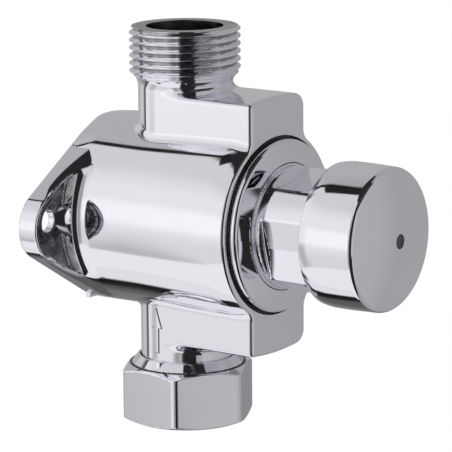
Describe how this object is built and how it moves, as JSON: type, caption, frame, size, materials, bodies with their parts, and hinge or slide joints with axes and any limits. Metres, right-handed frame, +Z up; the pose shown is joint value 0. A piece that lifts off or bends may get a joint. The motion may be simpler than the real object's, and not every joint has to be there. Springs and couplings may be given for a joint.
{
  "type": "push timed tap",
  "caption": "Straight wall-mounted self-closing tap: chrome casting with two-eared flange, male thread on top, union nut below and a large domed push button in front.",
  "frame": {"origin": "on the tap's axis in the wall plane, midway between the two screw holes", "axes": "+Z up towards the outlet, -Y out of the wall towards the push button, +X along the line of the screw holes"},
  "size_m": [0.07, 0.0836, 0.0954],
  "materials": {
    "chrome": "polished chrome plate on brass",
    "brass": "turned brass",
    "steel": "plain stainless steel",
    "rubber": "black rubber",
    "plastic": "off-white moulded plastic"
  },
  "bodies": {
    "tap": {"body": "chrome", "locking_ring": "chrome", "ring_gasket": "rubber", "head_gasket": "rubber", "cartridge_head": "chrome", "spacer_cage": "brass", "valve_seat": "brass", "seat_oring": "rubber", "timing_cylinder": "plastic", "guide_bush": "plastic", "rear_stem_seal": "rubber", "front_stem_seal": "rubber", "seal_retainer": "steel", "union_retaining_ring": "steel", "union_washer": "rubber", "inlet_strainer": "steel", "return_spring": "steel"},
    "plunger": {"push_button": "chrome", "button_plug": "steel", "button_screw": "steel", "stem": "steel", "stem_circlip": "steel", "valve_disc": "brass", "disc_washer": "rubber", "timing_piston": "plastic", "piston_lip_seal": "rubber", "piston_nut": "brass"},
    "union": {"union_nut": "chrome"}
  },
  "joints": [
    {"name": "button_press", "type": "slide", "parent": "tap", "child": "plunger", "axis": [0, 1, 0], "range_m": [0, 0.007], "stiffness_N_per_m": 1200, "springref_m": -0.009, "deforming": ["return_spring"]},
    {"name": "union_nut_spin", "type": "hinge", "parent": "tap", "child": "union", "pos_m": [0, -0.0231, -0.0433], "axis": [0, 0, 1], "continuous": true}
  ]
}
